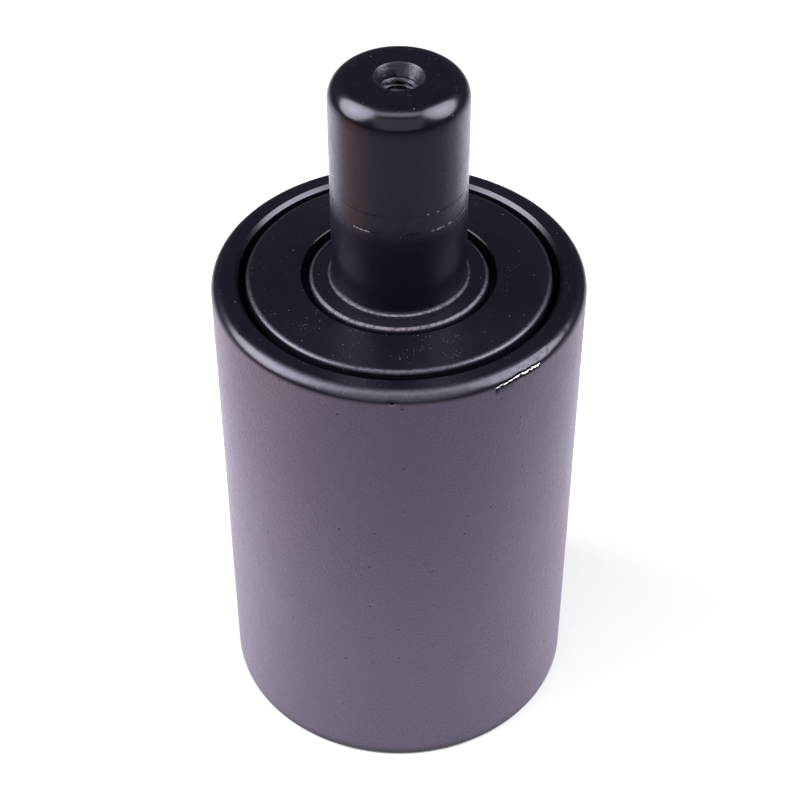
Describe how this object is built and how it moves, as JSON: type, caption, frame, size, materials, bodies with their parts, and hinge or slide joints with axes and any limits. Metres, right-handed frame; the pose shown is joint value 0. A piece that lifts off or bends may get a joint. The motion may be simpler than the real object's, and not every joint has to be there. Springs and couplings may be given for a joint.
{
  "type": "carrier roller",
  "caption": "Sealed carrier roller for a small tracked undercarriage: a plain cylindrical steel roller turning on an inner axle whose stub stands out of one end for clamping.",
  "frame": {"origin": "centre of the closed end's rim face, on the spin axis", "axes": "+Z along the spin axis, from the closed end towards the mounting stub; +X through the keyway of the axle's tail and the gaps of the circlips"},
  "size_m": [0.084, 0.084, 0.171],
  "materials": {
    "shell_paint": "semi-gloss black paint over a turned and rolled steel surface, faint orange peel and grain",
    "collar_paint": "semi-gloss black paint over a turned face",
    "stub_paint": "thin semi-gloss black paint over ground steel",
    "bearing_steel": "ground and polished bearing steel",
    "ball_steel": "mirror-polished bearing steel",
    "cage_brass": "machined brass",
    "turned_steel": "turned steel with a film of oil",
    "nut_steel": "oiled dark steel",
    "seal_iron": "white cast iron, lapped on the sealing face",
    "seal_rubber": "matte black nitrile rubber",
    "spring_steel": "phosphated spring steel, dark grey",
    "plated_steel": "zinc-plated steel",
    "copper": "annealed copper"
  },
  "bodies": {
    "axle": {"shaft": "stub_paint", "seal_collar": "collar_paint", "collar_o_ring": "seal_rubber", "fixed_seal_ring": "seal_iron", "fixed_seal_toric": "seal_rubber", "seal_bearing_inner_ring": "bearing_steel", "cap_bearing_inner_ring": "bearing_steel", "inner_spacer": "turned_steel", "tab_washer": "nut_steel", "lock_nut": "nut_steel"},
    "roller": {"roller_shell": "shell_paint", "turning_seal_ring": "seal_iron", "turning_seal_toric": "seal_rubber", "seal_bearing_outer_ring": "bearing_steel", "cap_bearing_outer_ring": "bearing_steel", "outer_spacer": "turned_steel", "bearing_circlip": "spring_steel", "end_cap": "shell_paint", "cap_o_ring": "seal_rubber", "cap_circlip": "spring_steel", "fill_plug": "plated_steel", "plug_washer": "copper"},
    "seal_ball_set": {"seal_bearing_balls": "ball_steel", "seal_bearing_cage": "cage_brass"},
    "cap_ball_set": {"cap_bearing_balls": "ball_steel", "cap_bearing_cage": "cage_brass"}
  },
  "joints": [
    {"name": "roller_spin", "type": "hinge", "parent": "axle", "child": "roller", "pos_m": [0, 0, 0], "axis": [0, 0, 1], "continuous": true},
    {"name": "seal_cage_orbit", "type": "hinge", "parent": "axle", "child": "seal_ball_set", "pos_m": [0, 0, 0], "axis": [0, 0, 1], "continuous": true},
    {"name": "cap_cage_orbit", "type": "hinge", "parent": "axle", "child": "cap_ball_set", "pos_m": [0, 0, 0], "axis": [0, 0, 1], "continuous": true}
  ],
  "couplings": [
    {"joint": "seal_cage_orbit", "follows": "roller_spin", "ratio": 0.60353},
    {"joint": "cap_cage_orbit", "follows": "roller_spin", "ratio": 0.60353}
  ]
}
